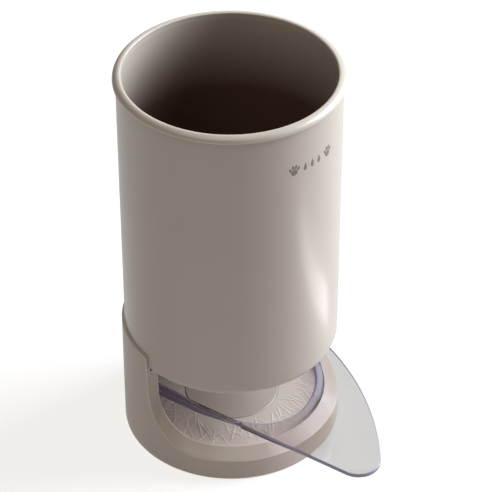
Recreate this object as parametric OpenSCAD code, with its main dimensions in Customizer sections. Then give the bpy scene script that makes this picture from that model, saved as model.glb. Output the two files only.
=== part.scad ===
// Paw washer cup: a straight drinking-glass shaped cup with a bristle sleeve and a drain plug,
// standing on a round base whose front is open and holds a clear spout that swings sideways.
// Millimetres, +Z up, front of the object towards -Y, origin at the centre of the foot.

/* [Base] */
// Outer diameter of the base
base_d = 96; // [90:1:104]
// Thickness of the upright wall behind the window
wall_t = 6.2; // [5:0.1:7]
// Height of the top edge of the upright wall
wall_top = 56; // [54:0.5:60]
// Height of the flat front sill on the outside
sill_out_z = 11.2; // [10.8:0.1:12]
// Height of the front sill at the edge of the recess
sill_in_z = 15; // [14.5:0.1:15.2]
// Corner radius at each lower corner of the window
window_r = 22; // [16:1:24]

/* [Cup] */
// Outer diameter of the cup
cup_d = 93.5; // [92:0.5:94]
// Wall thickness of the cup
cup_t = 2.45; // [2:0.05:3]
// Height of the cup's underside above the ground
cup_z = 47.5; // [47.3:0.1:48]
// Overall height to the top of the rim
total_h = 182.7; // [160:0.1:200]
// Radius of the cup's rounded bottom edge
cup_edge_r = 4; // [2:0.5:5]

/* [Bristle sleeve] */
// Height of the sleeve
sleeve_h = 64; // [50:1:70]
// Rows of bristles
bristle_rows = 6; // [3:1:7]
// Bristles in one row
bristles_per_row = 16; // [12:1:20]
// Length of one bristle
bristle_len = 14; // [10:1:16]

/* [Spout] */
// Distance of the spout's tip circle in front of the axis
tip_y = 76.5; // [70:0.5:80]
// Radius of the rounded tip
tip_r = 10; // [8:0.5:12]
// Thickness of the spout's plate
spout_t = 2; // [1.6:0.1:3]
// Lean of the straight edge from the front-to-back line, in degrees
edge_lean = 10.5; // [8:0.5:12]
// Distance of the straight edge from the swivel axis
edge_d = 23.5; // [22:0.05:26]

/* [Tray] */
// Radius of the smooth disc in the middle of the tray
disc_r = 21; // [18:0.5:23]
// Ribs around the smooth disc
rib_count = 26; // [16:1:30]

/* [Hidden] */
$fn = 96;

taupe = [0.64, 0.58, 0.54];
taupe_dark = [0.55, 0.49, 0.45];
silicone = [0.30, 0.26, 0.235];
steel = [0.75, 0.75, 0.76];
rubber = [0.18, 0.18, 0.19];
clear = [0.82, 0.80, 0.86, 0.45];

// base
base_r = base_d / 2;
recess_r = base_r - wall_t;
shell_z = 0.6;
foot_t = 1.4;
foot_r = base_r - 3.4;
plate_t = 2;
plate_r = base_r - 3;
skirt_r = plate_r + 0.2;
plate_top = foot_t + plate_t;
ledge_z = 8;
ledge_t = 2;
ledge_r = recess_r - 3;
boss_r = 3.4;
base_screw_at = recess_r - 0.8;
screw_count = 4;

// upright wall and window
rebate_r = cup_d / 2 + 0.3;
shelf_z = 44.2;
sill_slope = atan((sill_in_z - sill_out_z) / wall_t);
cheek_top = 47.3;
cheek_az = 101;
corner_az = 80;
front_az = 66;
jamb_u = 11.9;
jamb_drop = 0.8;

// tray
tray_top = 12;
tray_r = recess_r - 0.1;
cap_t = 2;
cap_rise = 0.2;
rib_h = 0.5;
rib_w = 0.9;

// platform
platform_top = 47;
platform_r = rebate_r - 0.15;
platform_nose_r = 38;
platform_hole_r = 19;
pad_r = 36;
pad_in_r = 22;
pad_t = cup_z - platform_top + 0.4;
shelf_screw_at = recess_r + 2.2;
shelf_screw_az = [115, 155, 205, 245];

// screws
screw_r = 1.25;
head_r = 2.4;
head_t = 1.2;

// cup
cup_r = cup_d / 2;
cup_in_r = cup_r - cup_t;
floor_t = 3.5;
floor_z = cup_z + floor_t;
rim_t = 2.7;
wall_end = total_h - rim_t;
rim_r = base_r;
rim_round = 2.3;

// drain
tail_r = 11;
tail_z = 36;
gasket_t = 1;
flange_r = 17;
flange_t = 1.6;
mouth_r = 9;
outlet_r = 7.5;
strainer_z = 43.5;
strainer_t = 1.2;
nut_t = 4;
nut_r = 16;
seat_top = floor_z + gasket_t + flange_t;

// plug
plug_r = mouth_r - 0.6;
oring_r = 0.75;
oring_z = seat_top - 3.6;
plug_head_r = 12.5;
plug_head_t = 2;
knob_stem_r = 2.5;
knob_r = 5.5;

// sleeve
sleeve_r = cup_in_r - 0.4;
sleeve_t = 1.3;
sleeve_z = floor_z + 0.2;
mat_r = sleeve_r - sleeve_t;
mat_t = 1.3;
mat_inset = 2;
bristle_root_r = 1.3;
bristle_tip_r = 0.5;

// spout
spout_bottom = sill_in_z + 1;
spout_top = spout_bottom + spout_t;
hub_z = tray_top + rib_h + 0.1;
hub_r = recess_r - 0.4;
hub_in_r = hub_r - 3.8;
bar_lean = 8.8;
bar_in_d = edge_d - 1.35;
lobe_az = 71;
open_corner_r = 22;
open_corner_cut = 22;
relief_y = [-3, -25];
side_centre = [-93, 20];
tip_centre = [(tip_r - edge_d + tip_y * sin(edge_lean)) / cos(edge_lean), -tip_y];

// Unit vector in the plan at an azimuth counted from the front towards +X
function at(az) = [sin(az), -cos(az)];

// Distance between two points
function gap(a, b) = norm(a - b);

// Places children on a circle, turned to face outwards
module around(az, r, z = 0) {
    rotate([0, 0, az - 90])
        translate([r, 0, z])
            children();
}

// Ring between two heights
module ring(outer, inner, z0, z1) {
    translate([0, 0, z0])
        difference() {
            cylinder(r = outer, h = z1 - z0);
            translate([0, 0, -1])
                cylinder(r = inner, h = z1 - z0 + 2);
        }
}

// Upright cylinder between two heights
module rod(r, z0, z1) {
    translate([0, 0, z0])
        cylinder(r = r, h = z1 - z0);
}

// Screw with its head down to z0, or up to z0 when the head is on top
module screw(z0, z1, head_up = false) {
    rod(screw_r, z0, z1);
    if (head_up) rod(head_r, z1 - head_t, z1);
    else rod(head_r, z0, z0 + head_t);
}

// ---- cup ----

module cup_profile() {
    difference() {
        union() {
            translate([0, cup_z])
                square([cup_r - cup_edge_r, floor_t]);
            translate([0, cup_z + cup_edge_r])
                square([cup_r, wall_end - cup_z - cup_edge_r]);
            translate([cup_r - cup_edge_r, cup_z + cup_edge_r])
                circle(r = cup_edge_r);
        }
        translate([-1, floor_z])
            square([cup_in_r + 1, total_h]);
        translate([-1, cup_z - 1])
            square([tail_r + 1.2, floor_t + 2]);
    }
}

module cup_shell() {
    color(taupe)
        rotate_extrude($fn = 128)
            cup_profile();
}

// Rounded ring welded on the end of the cup's wall, with a lip that stands out all round
module rim_ring() {
    round_z = total_h - rim_round;
    round_w = rim_r - cup_in_r - 0.6;
    crown = [for (a = [0:15:90]) [rim_r - round_w * (1 - cos(a)), round_z + rim_round * sin(a)]];
    color(taupe)
        rotate_extrude($fn = 128)
            polygon(concat([
                [cup_in_r, wall_end],
                [rim_r - 0.3, wall_end]],
                crown,
                [[cup_in_r, total_h - 0.5]]));
}

// ---- drain ----

module drain_seat() {
    color(steel)
        difference() {
            union() {
                rod(tail_r, tail_z, seat_top);
                rod(flange_r, seat_top - flange_t, seat_top);
            }
            rod(mouth_r, strainer_z, seat_top + 1);
            rod(outlet_r, tail_z - 1, strainer_z + 1);
        }
}

module drain_gasket() {
    color(rubber)
        ring(flange_r - 0.5, tail_r, floor_z, floor_z + gasket_t);
}

module drain_nut() {
    color(steel)
        difference() {
            translate([0, 0, cup_z - nut_t])
                cylinder(r = nut_r, h = nut_t, $fn = 6);
            rod(tail_r, cup_z - nut_t - 1, cup_z + 1);
        }
}

module hair_strainer() {
    hole_r = 1.4;
    color(steel)
        difference() {
            rod(mouth_r - 0.05, strainer_z, strainer_z + strainer_t);
            rod(hole_r, strainer_z - 1, strainer_z + strainer_t + 1);
            for (i = [0:5])
                rotate([0, 0, 60 * i])
                    translate([5, 0, 0])
                        rod(hole_r, strainer_z - 1, strainer_z + strainer_t + 1);
        }
}

module drain_plug() {
    color(rubber)
        difference() {
            union() {
                rod(plug_r, strainer_z + strainer_t + 1.5, seat_top);
                rod(plug_head_r, seat_top, seat_top + plug_head_t);
            }
            ring(plug_r + 1, plug_r - 1, oring_z - oring_r - 0.05, oring_z + oring_r + 0.05);
            rod(knob_stem_r, seat_top - 3, seat_top + plug_head_t + 1);
        }
}

module plug_oring() {
    color(silicone)
        translate([0, 0, oring_z])
            rotate_extrude()
                translate([mouth_r - 0.05 - oring_r, 0])
                    circle(r = oring_r, $fn = 32);
}

// Mushroom grip whose stem is pressed into the plug
module plug_knob() {
    knob_z = seat_top + plug_head_t + 7;
    color(taupe_dark)
        union() {
            rod(knob_stem_r, seat_top - 3, knob_z);
            intersection() {
                translate([0, 0, knob_z])
                    sphere(r = knob_r, $fn = 48);
                rod(knob_r, knob_z - 2.5, knob_z + 3.5);
            }
        }
}

// ---- bristle sleeve ----

// Stiff carrier that holds the mat against the cup's wall, with a lip over the mat's ends
module sleeve_shell() {
    top = sleeve_z + sleeve_h;
    color(taupe_dark)
        rotate_extrude($fn = 128)
            polygon([
                [mat_r - mat_t, sleeve_z],
                [sleeve_r, sleeve_z],
                [sleeve_r, top],
                [mat_r - mat_t, top],
                [mat_r - mat_t, top - mat_inset],
                [mat_r, top - mat_inset],
                [mat_r, sleeve_z + mat_inset],
                [mat_r - mat_t, sleeve_z + mat_inset]]);
}

// Many-sided opening of the mat, one flat for each bristle of a row and one between
module mat_opening() {
    sides = 2 * bristles_per_row;
    inner = (mat_r - mat_t) / cos(180 / sides);
    polygon([for (i = [0.5:sides]) inner * at(i * 360 / sides)]);
}

module bristle() {
    rotate([0, -90, 0])
        cylinder(r1 = bristle_root_r, r2 = bristle_tip_r, h = bristle_len + 0.6, $fn = 16);
}

// Soft mat rolled into a ring, with rows of bristles that point at the axis
module bristle_mat() {
    pitch = (sleeve_h - 16) / (bristle_rows - 1);
    step = 360 / bristles_per_row;
    color(silicone)
        union() {
            translate([0, 0, sleeve_z + mat_inset])
                difference() {
                    cylinder(r = mat_r, h = sleeve_h - 2 * mat_inset, $fn = 128);
                    translate([0, 0, -1])
                        linear_extrude(height = sleeve_h)
                            mat_opening();
                }
            for (row = [0:bristle_rows - 1])
                for (i = [0:bristles_per_row - 1])
                    rotate([0, 0, step * (i + 0.5 * (row % 2))])
                        translate([mat_r - mat_t + 0.6, 0, sleeve_z + 8 + pitch * row])
                            bristle();
        }
}

// ---- base ----

// Ring at the foot of the shell, with the sloping sill on its outer top and a ledge for the tray
module foot_profile() {
    polygon([
        [base_r - 0.6, shell_z],
        [base_r, shell_z + 0.6],
        [base_r, sill_out_z],
        [recess_r + 0.3, sill_in_z],
        [recess_r, sill_in_z],
        [recess_r, ledge_z],
        [ledge_r, ledge_z],
        [ledge_r, ledge_z - ledge_t],
        [skirt_r, ledge_z - ledge_t],
        [skirt_r, shell_z]]);
}

// Upright wall, thinner above the shelf so that it holds the cup's foot
module wall_profile() {
    polygon([
        [recess_r, sill_out_z - 0.4],
        [base_r - 0.2, sill_out_z - 0.4],
        [base_r, sill_out_z - 0.2],
        [base_r, wall_top - 0.3],
        [base_r - 0.3, wall_top],
        [rebate_r, wall_top],
        [rebate_r, shelf_z],
        [recess_r, shelf_z]]);
}

// Side of the window: a straight jamb that turns into the sill with a large radius
module jamb_cut() {
    around(corner_az, recess_r, sill_in_z - jamb_drop)
        rotate([0, sill_slope, 0])
            translate([-20, 0, 0])
                rotate([90, 0, 90])
                    linear_extrude(height = 60)
                        difference() {
                            translate([-jamb_u - 0.6, 0])
                                square([2 * jamb_u + 0.6, 70]);
                            difference() {
                                translate([jamb_u - window_r, -1])
                                    square([window_r + 1, window_r + 1]);
                                translate([jamb_u - window_r, window_r])
                                    circle(r = window_r);
                            }
                        }
}

// Everything above a height and in front of two azimuths
module front_sector(az, z) {
    far = 2 * base_r;
    translate([0, 0, z])
        linear_extrude(height = total_h)
            polygon([[0, 0], far * at(-az), far * [-1, -1], far * [1, -1], far * at(az)]);
}

// Raised end of the shelf beside the window, just under the cup
module cheeks() {
    intersection() {
        ring(rebate_r + 0.2, recess_r, shelf_z - 1, cheek_top);
        front_sector(cheek_az, 0);
    }
}

module base_shell() {
    color(taupe)
        difference() {
            union() {
                rotate_extrude($fn = 128)
                    foot_profile();
                difference() {
                    union() {
                        rotate_extrude($fn = 128)
                            wall_profile();
                        cheeks();
                    }
                    front_sector(front_az, shell_z);
                    jamb_cut();
                    mirror([1, 0, 0])
                        jamb_cut();
                }
                for (i = [0:screw_count - 1])
                    around(45 + 90 * i, base_screw_at)
                        rod(boss_r, plate_top, ledge_z - ledge_t + 0.5);
            }
            for (i = [0:screw_count - 1])
                around(45 + 90 * i, base_screw_at)
                    rod(screw_r, plate_top - 1, ledge_z - 0.6);
            for (az = shelf_screw_az)
                around(az, shelf_screw_at)
                    rod(screw_r, shelf_z - 10, shelf_z + 1);
        }
}

// Round shelf under the cup, wide where the wall carries it and narrow over the window
module cup_platform() {
    color(taupe_dark)
        difference() {
            union() {
                rod(platform_nose_r, shelf_z, platform_top);
                intersection() {
                    rod(platform_r, shelf_z, platform_top);
                    translate([-base_r, 10, 0])
                        cube([base_d, base_r, total_h]);
                }
            }
            rod(platform_hole_r, shelf_z - 1, platform_top + 1);
            ring(pad_r, pad_in_r, cup_z - pad_t, platform_top + 1);
            for (az = shelf_screw_az)
                around(az, shelf_screw_at) {
                    rod(screw_r, shelf_z - 1, platform_top + 1);
                    rod(head_r, platform_top - head_t, platform_top + 1);
                }
        }
}

module platform_pad() {
    color(rubber)
        ring(pad_r, pad_in_r, cup_z - pad_t, cup_z);
}

module platform_screws() {
    color(steel)
        for (az = shelf_screw_az)
            around(az, shelf_screw_at)
                screw(shelf_z - 9, platform_top, head_up = true);
}

// Straw-like ribs in random directions that keep the spout and drops off the tray
module ribs() {
    lean = rands(-38, 38, rib_count, 7);
    reach = rands(11, 15, rib_count, 11);
    pitch = 360 / rib_count;
    for (i = [0:rib_count - 1])
        rotate([0, 0, pitch * i])
            translate([(disc_r + tray_r) / 2, 0, tray_top])
                rotate([0, 0, lean[i]])
                    translate([-reach[i] / 2, -rib_w / 2, -0.2])
                        cube([reach[i], rib_w, rib_h + 0.2]);
}

module drip_tray() {
    color(taupe_dark)
        difference() {
            union() {
                rod(tray_r, ledge_z, tray_top);
                ribs();
            }
            rod(disc_r, tray_top - cap_t, total_h);
            rod(screw_r + 0.25, ledge_z - 1, tray_top);
        }
}

// Smooth disc that clips into the tray over its screw
module tray_cap() {
    color(taupe_dark)
        difference() {
            rod(disc_r - 0.1, tray_top - cap_t, tray_top + cap_rise);
            rod(head_r + 0.4, tray_top - cap_t - 1, tray_top - cap_t + head_t + 0.2);
        }
}

module tray_screw() {
    color(steel)
        screw(plate_top + 0.6, tray_top - cap_t + head_t, head_up = true);
}

module base_plate() {
    color(taupe_dark)
        difference() {
            union() {
                rod(plate_r, foot_t, plate_top);
                rod(4.5, plate_top - 0.5, ledge_z);
            }
            rod(screw_r, plate_top + 0.6, ledge_z + 1);
            for (i = [0:screw_count - 1])
                around(45 + 90 * i, base_screw_at) {
                    rod(screw_r + 0.1, foot_t - 1, plate_top + 1);
                    rod(head_r + 0.1, foot_t - 1, foot_t + head_t);
                }
        }
}

module base_screws() {
    color(steel)
        for (i = [0:screw_count - 1])
            around(45 + 90 * i, base_screw_at)
                screw(foot_t, ledge_z - 0.8);
}

module foot_pad() {
    color(rubber)
        rod(foot_r, 0, foot_t);
}

// ---- spout ----

// Everything on the spout's side of a leaning line
module beside_edge(d, lean = edge_lean) {
    far = 3 * base_r;
    rotate([0, 0, lean])
        translate([-d, -far])
            square([far, 2 * far]);
}

// Long leaf that reaches out over the sill to the tip
module leaf() {
    side_r = gap(side_centre, tip_centre) + tip_r;
    side_dir = (tip_centre - side_centre) / gap(side_centre, tip_centre);
    edge_dir = [-cos(edge_lean), -sin(edge_lean)];
    far = 3 * base_r;
    translate(tip_centre)
        circle(r = tip_r);
    intersection() {
        translate(side_centre)
            circle(r = side_r, $fn = 256);
        beside_edge(edge_d);
        polygon([
            tip_centre + tip_r * edge_dir,
            tip_centre + tip_r * side_dir,
            tip_centre + far * side_dir,
            far * at(lobe_az),
            [0, 0],
            far * [-1, 0],
            far * [-1, -1],
            tip_centre + far * edge_dir]);
    }
}

// Opening over the tray: a round hole with a straight side and one wide corner that runs out
// into the side at a sharp angle
module spout_opening() {
    far = 2 * base_r;
    along = [sin(edge_lean), -cos(edge_lean)];
    across = [cos(edge_lean), sin(edge_lean)];
    reach = hub_in_r - open_corner_r;
    corner_x = open_corner_r - bar_in_d + 0.9;
    corner = corner_x * across + sqrt(reach * reach - corner_x * corner_x) * along;
    cut_az = 180 + edge_lean + open_corner_cut;
    outward = [cos(cut_az), sin(cut_az)];
    tangent = [sin(cut_az), -cos(cut_az)];
    start = corner + open_corner_r * outward;
    difference() {
        intersection() {
            circle(r = hub_in_r);
            beside_edge(bar_in_d, bar_lean);
        }
        difference() {
            polygon([
                corner,
                start,
                start + far * tangent,
                start + far * tangent + far * outward,
                far * corner / norm(corner)]);
            translate(corner)
                circle(r = open_corner_r);
        }
    }
}

// Room under the front of the hub, so that its skirt fades out before the sill
module skirt_relief() {
    far = 2 * base_r;
    translate([-base_r, 0, 0])
        rotate([90, 0, 90])
            linear_extrude(height = base_d)
                polygon([
                    [relief_y[0], 0],
                    [relief_y[0], hub_z],
                    [relief_y[1], spout_bottom],
                    [-far, spout_bottom],
                    [-far, 0]]);
}

// Clear spout: a hub ring that turns in the recess, a straight bar and the leaf over the sill
module spout() {
    color(clear)
        difference() {
            union() {
                translate([0, 0, spout_bottom])
                    linear_extrude(height = spout_t)
                        leaf();
                translate([0, 0, hub_z])
                    linear_extrude(height = spout_top - hub_z)
                        intersection() {
                            circle(r = hub_r, $fn = 128);
                            beside_edge(edge_d);
                        }
            }
            translate([0, 0, hub_z - 1])
                linear_extrude(height = spout_top - hub_z + 2)
                    spout_opening();
            skirt_relief();
        }
}

cup_shell();
rim_ring();
drain_seat();
drain_gasket();
drain_nut();
hair_strainer();
sleeve_shell();
bristle_mat();
drain_plug();
plug_oring();
plug_knob();
base_shell();
cup_platform();
platform_pad();
platform_screws();
drip_tray();
tray_cap();
tray_screw();
base_plate();
base_screws();
foot_pad();
spout();
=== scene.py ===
# %% [markdown]
# # Paw washing cup
# A tall taupe cup stands on a round base. The base is open in front, and a clear spout turns
# in the opening above a drip tray. The CAD model holds the true sizes and the joints. This
# script gives every visible piece its finished surface, in metres and in the CAD's own frame.

# %% Load the frame
import math

import bmesh
import bpy
import numpy as np
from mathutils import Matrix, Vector


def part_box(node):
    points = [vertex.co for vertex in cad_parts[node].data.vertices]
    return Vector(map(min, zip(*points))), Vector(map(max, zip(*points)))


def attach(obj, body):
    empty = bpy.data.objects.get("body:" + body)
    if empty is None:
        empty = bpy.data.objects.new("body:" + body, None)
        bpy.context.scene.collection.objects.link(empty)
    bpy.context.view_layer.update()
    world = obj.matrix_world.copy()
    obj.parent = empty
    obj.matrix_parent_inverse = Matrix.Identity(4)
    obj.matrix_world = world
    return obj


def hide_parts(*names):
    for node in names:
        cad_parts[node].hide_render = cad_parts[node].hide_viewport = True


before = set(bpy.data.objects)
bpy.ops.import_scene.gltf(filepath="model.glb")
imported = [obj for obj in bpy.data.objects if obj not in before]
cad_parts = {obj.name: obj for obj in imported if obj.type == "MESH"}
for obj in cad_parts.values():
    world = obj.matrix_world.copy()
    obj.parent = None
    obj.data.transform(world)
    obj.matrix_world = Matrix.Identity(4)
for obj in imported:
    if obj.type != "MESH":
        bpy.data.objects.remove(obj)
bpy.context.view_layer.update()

# %% [markdown]
# ## Sizes
# The CAD nodes give the sizes, so nothing here is measured twice. A box holds the lowest and
# the highest corner of a node. A round part's radius is the largest X of its box. The gaps
# between the parts are the part's own. Lengths in this script are millimetres, and they turn
# to metres when a mesh is made.

# %% Read the sizes
MM = 0.001
SLEEVE_GAP, FLOOR_GAP, TRAY_GAP, CAD_RIB_H = 0.4, 0.2, 0.1, 0.5


def box(node):
    """Lowest and highest corner of a CAD node in millimetres."""
    return [np.array(corner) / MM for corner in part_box(node)]


cup_lo, cup_hi = box("cup_shell")
_, rim_hi = box("rim_ring")
sleeve_lo, sleeve_hi = box("sleeve_shell")
base_lo, base_hi = box("base_shell")
tray_lo, tray_hi = box("drip_tray")
cap_lo, cap_hi = box("tray_cap")
spout_lo, spout_hi = box("spout")
platform_lo, platform_hi = box("cup_platform")

cup_r, cup_z, wall_end = cup_hi[0], cup_lo[2], cup_hi[2]
sleeve_r = sleeve_hi[0]
cup_in_r = sleeve_r + SLEEVE_GAP
floor_z = sleeve_lo[2] - FLOOR_GAP
base_r = base_hi[0]
tray_r = tray_hi[0]
recess_r = tray_r + TRAY_GAP
tray_top = tray_hi[2] - CAD_RIB_H
shelf_z = platform_lo[2]
print(f"cup r {cup_r:.2f}, base r {base_r:.2f}, tray top {tray_top:.2f}, height {rim_hi[2]:.2f}")

# %% [markdown]
# ## From a grid to a piece
# Every shape below is a grid of points: one direction runs along a path or round the axis, the
# other runs round a section. Neighbours in the grid become four-sided faces. Points that fall
# on each other, such as the pole of a disc, are merged, and then the faces are turned outwards.

# %% Grid helpers
SHARP_EDGE = math.radians(38)
MERGE_WITHIN, NO_LENGTH = 2e-6, 1e-7


def quads(rows, cols, close_rows=True, close_cols=True):
    """Corner numbers of a grid's faces. A closed direction joins its last line to its first."""
    i = np.arange(rows if close_rows else rows - 1)[:, None]
    j = np.arange(cols if close_cols else cols - 1)[None, :]
    i2, j2 = (i + 1) % rows, (j + 1) % cols
    corners = [i * cols + j, i2 * cols + j, i2 * cols + j2, i * cols + j2]
    return np.stack(corners, -1).reshape(-1, 4)


def piece(name, points, faces, body, nodes, material, mark=None):
    """Makes a mesh of points in millimetres, merges doubles, turns it outwards and hangs it
    on a body. Without faces, the points are a closed grid.

    Mark is one number per point, from 0 to 1, kept as an attribute that the material reads.
    """
    if faces is None:
        faces = quads(*points.shape[:2])
    mesh = bpy.data.meshes.new(name)
    mesh.from_pydata((points.reshape(-1, 3) * MM).tolist(), [], faces.tolist())
    if mark is not None:
        mesh.attributes.new("mark", "FLOAT", "POINT").data.foreach_set("value", mark.ravel())
    work = bmesh.new()
    work.from_mesh(mesh)
    bmesh.ops.remove_doubles(work, verts=work.verts, dist=MERGE_WITHIN)
    bmesh.ops.dissolve_degenerate(work, edges=work.edges, dist=NO_LENGTH)
    bmesh.ops.recalc_face_normals(work, faces=work.faces)
    work.to_mesh(mesh)
    work.free()
    mesh.polygons.foreach_set("use_smooth", np.ones(len(mesh.polygons), bool))
    mesh.set_sharp_from_angle(angle=SHARP_EDGE)
    mesh.materials.append(material)
    made = bpy.data.objects.new(name, mesh)
    bpy.context.scene.collection.objects.link(made)
    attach(made, body)
    if nodes:
        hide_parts(*nodes)
    print(f"{name}: {len(mesh.vertices)} points, {len(mesh.polygons)} faces on {body}")
    return made


print("faces of a closed grid of 3 by 4 points:", len(quads(3, 4)))

# %% [markdown]
# ## Turned profiles
# Most parts of the cup are round, so one half section tells the whole shape. Moulded parts
# have no knife edges: a corner is replaced by the arc that touches both its sides. A long
# straight stretch gets one more point close to each end. It keeps the smooth shading of the
# arc from spreading over the flat wall.

# %% Profile helpers
def rounded(corners, steps=6, brace=0.4, closed=True):
    """Outline through corners (r, z, fillet).

    Each corner is cut back on both sides by the fillet divided by the tangent of half its
    angle, and the arc about the fillet's centre joins the two cuts. Straights over four
    braces long get a point one brace in from each end.
    """
    spots = np.array([c[:2] for c in corners], float)
    line = []
    for i, (_, _, fillet) in enumerate(corners):
        here = spots[i]
        if fillet == 0 or (not closed and i in (0, len(corners) - 1)):
            line.append(here[None])
            continue
        back = spots[i - 1] - here
        ahead = spots[(i + 1) % len(spots)] - here
        back, ahead = back / np.linalg.norm(back), ahead / np.linalg.norm(ahead)
        half = 0.5 * math.acos(np.clip(back @ ahead, -1, 1))
        inwards = (back + ahead) / np.linalg.norm(back + ahead)
        middle = here + inwards * fillet / math.sin(half)
        first = here + back * fillet / math.tan(half) - middle
        last = here + ahead * fillet / math.tan(half) - middle
        turn = math.pi - 2 * half
        t = np.linspace(0, 1, steps + 1)[:, None]
        arc = np.sin((1 - t) * turn) * first + np.sin(t * turn) * last
        line.append(middle + arc / math.sin(turn))
    line = np.concatenate(line)
    ends = np.roll(line, -1, axis=0) if closed else line[1:]
    starts = line if closed else line[:-1]
    span = np.linalg.norm(ends - starts, axis=1, keepdims=True)
    way = (ends - starts) / np.maximum(span, 1e-9)
    long = span[:, 0] > 4 * brace
    stops = np.stack([starts, starts + way * brace, ends - way * brace], 1)
    keep = np.stack([np.ones(len(long), bool), long, long], 1)
    out = stops[keep]
    return out if closed else np.concatenate([out, line[-1:]])


def turned(profile, sides=192):
    """Surface of a profile (r, z) turned about the Z axis: x = r sin a, y = -r cos a."""
    a = np.linspace(0, 2 * np.pi, sides, endpoint=False)[:, None]
    r, z = profile[:, 0], profile[:, 1]
    return np.stack(np.broadcast_arrays(r * np.sin(a), -r * np.cos(a), z + 0 * a), -1)


def lathe(name, corners, body, nodes, material, sides=192, steps=6, closed=True):
    """Turned piece from rounded corners. An open profile starts and ends on the axis."""
    profile = rounded(corners, steps=steps, closed=closed)
    faces = quads(sides, len(profile), close_cols=closed)
    return piece(name, turned(profile, sides), faces, body, nodes, material)


print("outline of a washer:", len(rounded([(1, 0, 0), (3, 0, 0.5), (3, 1, 0), (1, 1, 0)])))

# %% [markdown]
# ## Colours and shader nodes
# Colours are written as sRGB hex values, as on a colour card. Blender mixes light in linear
# values, so one function turns them. Another small function adds a shader node with its
# settings and links, and every material below is put together with it.

# %% Material helpers
def linear(code):
    """Linear colour of an sRGB hex value: c / 12.92 when dark, else
    ((c + 0.055) / 1.055) ** 2.4."""
    c = np.array([int(code[i : i + 2], 16) for i in (0, 2, 4)]) / 255
    return (*np.where(c <= 0.04045, c / 12.92, ((c + 0.055) / 1.055) ** 2.4).tolist(), 1.0)


def add(tree, kind, links=None, **settings):
    """Adds one shader node. Settings go on the node. Links give its sockets a value, another
    node's output, or the first output in use of a node."""
    made = tree.nodes.new("ShaderNode" + kind)
    for key, value in settings.items():
        setattr(made, key, value)
    for key, value in (links or {}).items():
        if isinstance(value, bpy.types.Node):
            value = next(output for output in value.outputs if output.enabled)
        if isinstance(value, bpy.types.NodeSocket):
            tree.links.new(value, made.inputs[key])
        else:
            made.inputs[key].default_value = value
    return made


def new_material(name):
    """Empty material with its node tree and the object's own coordinates in metres."""
    material = bpy.data.materials.new(name)
    material.use_nodes = True
    tree = material.node_tree
    tree.nodes.clear()
    where = add(tree, "TexCoord").outputs["Object"]
    return material, tree, where


def per_mm(size):
    """Noise scale whose features are about this many millimetres wide."""
    return 1 / (size * MM)


print("middle grey in linear values:", round(linear("808080")[0], 3))

# %% [markdown]
# ## Pigmented ABS
# The cup and the base are injection moulded ABS, pigmented taupe. The pigment clouds very
# faintly, the polished mould leaves a satin gloss with a slight orange peel, and the wall
# shrinks a little as it cools, so long reflections waver. Paler bands along some edges are
# partly wear and partly painted highlights where the edges catch the light, and a painted
# shade turns the inside of the cup brown towards the bristles. One recipe serves all the
# tones of the one plastic. They differ a little from part to part, and the lighter tray
# partly paints light into its shade under the cup.

# %% ABS recipe
# Pale tones for wear and painted highlights on edges, and the brown of the painted shade.
RUB_AND_HIGHLIGHT_TONE, WEAR_AND_HIGHLIGHT_TONE, PAINTED_SHADE_TONE = linear("E9E1D9"), linear("DDD3C8"), linear("48281C")
CLOUD, PATCH, SWELL, FLECK, PORE, GRAIN = 28, 14, 16, 2.2, 1.1, 0.6
GLOSS_DRIFT = 0.03


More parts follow.
